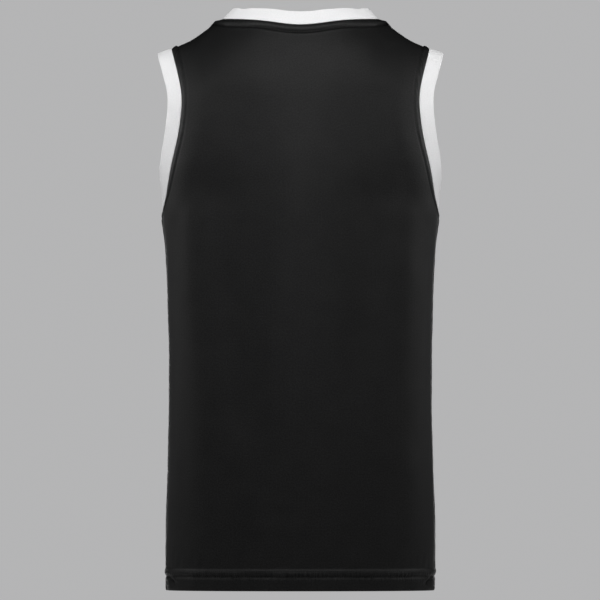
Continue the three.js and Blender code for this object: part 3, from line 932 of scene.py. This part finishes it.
def knit(name, colour, shade, roughness, speckle):
    """A smooth knit, uneven in tone, with puckers, and with painted light and shade at the sewing and on the
    puckers.
    """
    material = bpy.data.materials.new(name)
    material.use_nodes = True
    shader = material.node_tree.nodes["Principled BSDF"]
    shader.inputs["Roughness"].default_value = roughness
    uv = add_node(material, "UVMap", uv_map="cloth")
    gathered = add_node(material, "Attribute", attribute_name="gathering")
    # The painted light and shade at the sewing, from the panels' attribute
    painted_shading = add_node(material, "Attribute", attribute_name="painted_seam_shading")

    # The puckers are narrow across the cloth and longer up it
    drawn = add_node(material, "Mapping", {"Scale": (400.0, 80.0, 1.0)})
    bunching = add_node(material, "TexNoise", {"Scale": 1.0, "Detail": 1.0})
    connect(material, uv, "UV", drawn, "Vector")
    connect(material, drawn, "Vector", bunching, "Vector")

    # Relief
    pucker_height = add_node(material, "Math", operation="MULTIPLY")
    connect(material, bunching, "Fac", pucker_height, 0)
    connect(material, gathered, "Fac", pucker_height, 1)
    knit_bump = add_node(material, "Bump", {"Strength": 0.35, "Distance": 0.00012})
    pucker_bump = add_node(material, "Bump", {"Strength": 1.0, "Distance": 0.0022})
    connect(material, loops_and_fuzz(material, uv), "Value", knit_bump, "Height")
    connect(material, pucker_height, "Value", pucker_bump, "Height")
    connect(material, knit_bump, "Normal", pucker_bump, "Normal")
    connect(material, pucker_bump, "Normal", shader, "Normal")

    # Tone: between the two colours, in clouds and in fine grains
    cloud = add_node(material, "TexNoise", {"Scale": 34.0, "Detail": 3.0})
    grain = add_node(material, "TexNoise", {"Scale": 520.0, "Detail": 1.0})
    for texture in (cloud, grain):
        connect(material, uv, "UV", texture, "Vector")
    mottle = spread_out(material, grain, -0.9, 0.9)
    uneven = add_node(material, "Math", operation="ADD")
    connect(material, spread_out(material, cloud, 0.0, 1.0), "Result", uneven, 0)
    connect(material, mottle, "Result", uneven, 1)
    tone = add_node(
        material, "Mix", {"A": (*shade, 1), "B": (*colour, 1)}, data_type="RGBA", clamp_factor=False
    )
    connect(material, uneven, "Value", tone, "Factor")

    # The share of colour and gloss: grains, painted light and shade at the seams, and painted light and
    # shade on the puckers
    speckled = add_node(material, "Math", {1: speckle, 2: 1.0}, operation="MULTIPLY_ADD")
    connect(material, mottle, "Result", speckled, 0)
    grains_and_painted_shading = add_node(material, "Math", operation="ADD")
    connect(material, speckled, "Value", grains_and_painted_shading, 0)
    connect(material, painted_shading, "Fac", grains_and_painted_shading, 1)
    colour_share_with_painted_shading = add_node(material, "Math", operation="MULTIPLY_ADD")
    # Painted light and shade on the puckers, where the sewing gathers the knit
    connect(material, spread_out(material, bunching, -0.45, 0.45), "Result", colour_share_with_painted_shading, 0)
    connect(material, gathered, "Fac", colour_share_with_painted_shading, 1)
    connect(material, grains_and_painted_shading, "Value", colour_share_with_painted_shading, 2)
    # The cloth's colour and its gloss are scaled by the grains and by this painted light and shade
    colour_with_painted_shading = add_node(material, "VectorMath", operation="SCALE")
    connect(material, tone, "Result", colour_with_painted_shading, "Vector")
    connect(material, colour_share_with_painted_shading, "Value", colour_with_painted_shading, "Scale")
    connect(material, colour_with_painted_shading, "Vector", shader, "Base Color")
    gloss = add_node(material, "Math", {1: GLOSS}, operation="MULTIPLY")
    connect(material, colour_share_with_painted_shading, "Value", gloss, 0)
    connect(material, gloss, "Value", shader, "Specular IOR Level")
    return material


def plain(name, colour, roughness):
    material = bpy.data.materials.new(name)
    material.use_nodes = True
    shader = material.node_tree.nodes["Principled BSDF"]
    shader.inputs["Base Color"].default_value = (*colour, 1)
    shader.inputs["Roughness"].default_value = roughness
    return material


black_knit = knit("black_knit", (0.0070, 0.0071, 0.0071), (0.0054, 0.0055, 0.0055), 0.54, 0.13)
white_knit = knit("white_knit", (0.79, 0.79, 0.795), (0.77, 0.77, 0.775), 0.8, 0.004)
black_thread = plain("black_thread", (0.005, 0.005, 0.0052), 0.6)

# The panels and their sewing
forms = {panel: panel_form(panel) for panel in SIDE}
seams = {panel: seam_distances(forms[panel]) for panel in SIDE}
panels = {panel: make_panel(forms[panel], seams[panel], black_knit) for panel in SIDE}
stitch = model_stitch(black_thread)
sewing = {}
for panel in SIDE:
    form, away = forms[panel], seams[panel]
    hem_rows = [hem_line(form, away, height) for height in HEM_ROWS]
    armhole_rows = [armhole_line(form, away, side) for side in ("left", "right")]
    sewing[panel] = [
        sew("hem_stitches_" + panel, stitch, hem_rows),
        sew("neck_stitches_" + panel, stitch, [neck_line(form, away)]),
        sew("armhole_stitches_" + panel, stitch, armhole_rows),
    ]
bpy.data.objects.remove(stitch)

# The bands. The neck band is joined just in front of the left shoulder seam, the others at the underarms.
neck_edge = {panel: edge_rows(forms[panel], -1, neck_columns(forms[panel])) for panel in SIDE}
neck_loop = join_loop(neck_edge["back"], neck_edge["front"][::-1])
upward = np.array([0.0, 0.0, 1.0])
neck_join = len(neck_edge["back"]) + 3
bands = {
    "neck_band": make_band(
        "jersey_neck_band", neck_loop, upward, lambda at: neck_lift_at(at[:, 1]), neck_join, white_knit
    )
}
for side, column, hand in (("left", -1, 1.0), ("right", 0, -1.0)):
    edge = {}
    for panel in SIDE:
        edge[panel] = edge_rows(forms[panel], slice(forms[panel]["first_yoke"], None), column)
    armhole_loop = join_loop(edge["back"], edge["front"][::-1])
    outward = np.array([hand, 0.0, 0.0])
    name = "armhole_band_" + side
    bands[name] = make_band(
        "jersey_" + name, armhole_loop, outward, lambda at: armhole_flare_at(at[:, 2]), 0, white_knit
    )


# Where each piece belongs; the parts that the pieces stand in for are hidden
for panel in SIDE:
    piece = panels[panel]
    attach(piece, "root")
    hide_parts(panel + "_panel")
    for row in sewing[panel]:
        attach(row, "root")

for node, (piece, length) in bands.items():
    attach(piece, "root")
    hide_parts(node)

# The floor and the room. From here on, lengths are in metres.
FLOOR_HEIGHT = -1.45  # the jersey hangs at the height at which it is worn
PALE = (1.0, 1.0, 1.01, 1)

scene = bpy.context.scene
scene.view_settings.view_transform = "Standard"
deselect_all()
bpy.ops.mesh.primitive_plane_add(size=80, location=(0, 0, FLOOR_HEIGHT))
floor = bpy.context.object
floor.name = "floor"
pale_floor = plain("pale_floor", (0.5, 0.5, 0.505), 0.9)
floor_shader = pale_floor.node_tree.nodes["Principled BSDF"]
floor_shader.inputs["Emission Color"].default_value = PALE
floor_shader.inputs["Emission Strength"].default_value = 0.27
floor.data.materials.append(pale_floor)


def pale_room():
    """A room that is pale round the horizon and dim above and below, so that it hardly lights the cloth."""
    world = bpy.data.worlds.new("pale_room")
    world.use_nodes = True
    direction = add_node(world, "TexCoord")
    split = add_node(world, "SeparateXYZ")
    connect(world, direction, "Generated", split, "Vector")
    height = add_node(world, "Math", operation="ABSOLUTE")
    connect(world, split, "Z", height, 0)
    inputs = {"From Min": 0.02, "From Max": 0.1, "To Min": 0.46, "To Max": 0.06}
    fade = add_node(world, "MapRange", inputs, interpolation_type="SMOOTHSTEP")
    connect(world, height, "Value", fade, "Value")
    background = world.node_tree.nodes["Background"]
    background.inputs["Color"].default_value = PALE
    connect(world, fade, "Result", background, "Strength")
    return world


# The cloth doesn't mirror the room, which would turn its edges pale
scene.world = pale_room()
scene.world.cycles_visibility.glossy = False


def soft_light(name, place, aim, size, watts, spread):
    """A rectangular light that points from its place at its aim, with its spread in degrees."""
    data = bpy.data.lights.new(name, "AREA")
    data.shape = "RECTANGLE"
    data.size, data.size_y = size
    data.energy = watts
    data.spread = math.radians(spread)
    lamp = bpy.data.objects.new(name, data)
    lamp.location = place
    lamp.rotation_euler = (Vector(aim) - Vector(place)).to_track_quat("-Z", "Y").to_euler()
    scene.collection.objects.link(lamp)


soft_light("key", (0.0, 1.1, 1.5), (0.0, 0.1, -0.1), (1.4, 0.8), 4.2, 100)
soft_light("back", (0.0, 1.8, 1.2), (0.0, 0.1, -0.15), (1.2, 0.8), 3.3, 100)
soft_light("upper_back", (0.0, 2.2, 0.15), (0.0, 0.1, 0.0), (0.8, 0.6), 0.62, 40)
for side, x in (("left", 1), ("right", -1)):
    soft_light(side + "_rim", (x * 1.5, -0.3, 0.25), (x * 0.15, 0.0, -0.25), (0.4, 0.8), 1.3, 120)
    soft_light(side + "_strip", (x * 1.6, -0.05, 0.1), (x * 0.15, 0.0, -0.35), (0.5, 0.8), 1.1, 110)
    soft_light(side + "_edge", (x * 1.4, -0.9, -0.25), (x * 0.17, 0.0, -0.37), (0.3, 0.5), 0.016, 28)
    soft_light(side + "_top", (x * 1.2, 1.1, 0.5), (x * 0.12, 0.05, -0.1), (0.5, 0.7), 1.4, 90)
soft_light("front", (0.0, -2.2, -0.35), (0.0, -0.1, -0.35), (1.2, 1.2), 11, 120)

# The camera: behind, level and so far away that both sides show alike
CAMERA_PLACE = (0.0007, 30.0, -0.374)
CAMERA_LENS = 1353.0  # millimetres, as is the sensor's width
SENSOR_WIDTH = 36.0

camera_data = bpy.data.cameras.new("camera")
camera = bpy.data.objects.new("camera", camera_data)
camera_data.sensor_width = SENSOR_WIDTH
camera_data.lens = CAMERA_LENS
camera_data.clip_end = 200.0
camera.location = CAMERA_PLACE
camera.rotation_euler = (math.pi / 2, 0.0, math.pi)
scene.collection.objects.link(camera)
scene.camera = camera
